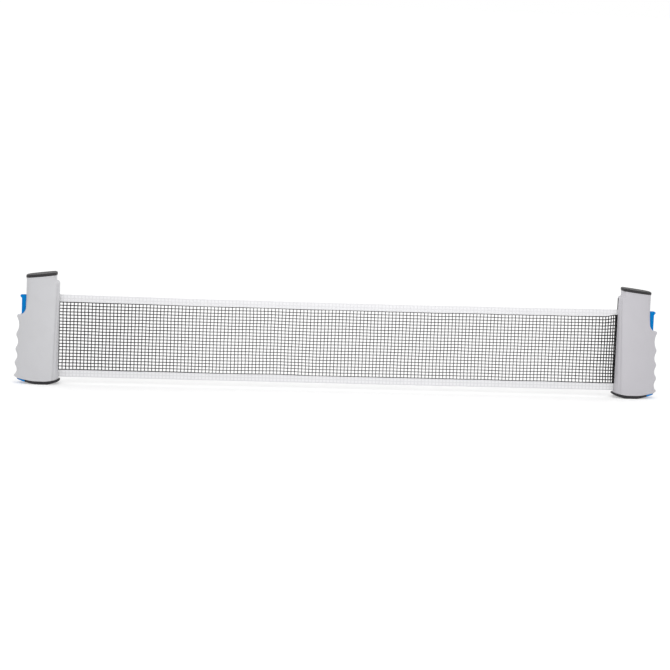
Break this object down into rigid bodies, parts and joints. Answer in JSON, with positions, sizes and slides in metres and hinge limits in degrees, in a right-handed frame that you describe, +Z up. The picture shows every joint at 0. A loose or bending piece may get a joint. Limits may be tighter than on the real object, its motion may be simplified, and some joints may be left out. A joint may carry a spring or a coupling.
{
  "type": "table tennis net clamp",
  "caption": "Retractable table tennis net between two end posts, each with a finger grip, a thumb-pressed spring clamp and a slanted cap.",
  "frame": {"origin": "middle of the length and depth, at the underside of the closed lower jaws", "axes": "+X along the net from the reel post to the anchor post, -Y the front face, +Z up"},
  "size_m": [1.145, 0.0452, 0.1976],
  "materials": {
    "shell": "light grey ABS moulding, fine satin texture",
    "cap": "black moulding, satin",
    "pad": "black rubber, matt",
    "screw": "zinc plated",
    "slider": "blue moulding, semi-gloss",
    "boot": "black rubber, matt",
    "spring": "spring steel wire",
    "rod": "drawn steel",
    "tape": "white woven polyester tape, sewn",
    "net": "black knotless polyester mesh",
    "reel_plastic": "dark moulding"
  },
  "bodies": {
    "left_post": {"left_front_shell": "shell", "left_back_shell": "shell", "left_top_cap": "cap", "left_base_pad": "pad", "left_screws": "screw", "left_clamp_spring": "spring", "reel_shaft": "rod", "reel_spring": "spring", "net_mesh": "net", "net_top_tape": "tape", "net_bottom_tape": "tape"},
    "reel": {"reel_core": "reel_plastic", "reel_bushes": "reel_plastic", "net_roll": "net"},
    "left_clamp": {"left_clamp_slider": "slider", "left_jaw_boot": "boot"},
    "right_post": {"right_front_shell": "shell", "right_back_shell": "shell", "right_top_cap": "cap", "right_base_pad": "pad", "right_screws": "screw", "right_clamp_spring": "spring", "net_anchor_rod": "rod", "net_end_hem": "tape"},
    "right_clamp": {"right_clamp_slider": "slider", "right_jaw_boot": "boot"}
  },
  "joints": [
    {"name": "net_pull", "type": "slide", "parent": "left_post", "child": "right_post", "axis": [1, 0, 0], "range_m": [-0.975, 0.75], "deforming": ["net_mesh", "net_top_tape", "net_bottom_tape"]},
    {"name": "reel_spin", "type": "hinge", "parent": "left_post", "child": "reel", "pos_m": [-0.5225, 0, 0.08], "axis": [0, 0, 1], "range_deg": [-4825, 3700], "deforming": ["reel_spring"]},
    {"name": "left_clamp_press", "type": "slide", "parent": "left_post", "child": "left_clamp", "axis": [0, 0, -1], "range_m": [0, 0.028], "stiffness_N_per_m": 1500, "springref_m": -0.02, "deforming": ["left_clamp_spring"]},
    {"name": "right_clamp_press", "type": "slide", "parent": "right_post", "child": "right_clamp", "axis": [0, 0, -1], "range_m": [0, 0.028], "stiffness_N_per_m": 1500, "springref_m": -0.02, "deforming": ["right_clamp_spring"]}
  ],
  "couplings": [
    {"joint": "reel_spin", "follows": "net_pull", "rad_per_m": 85.8}
  ]
}
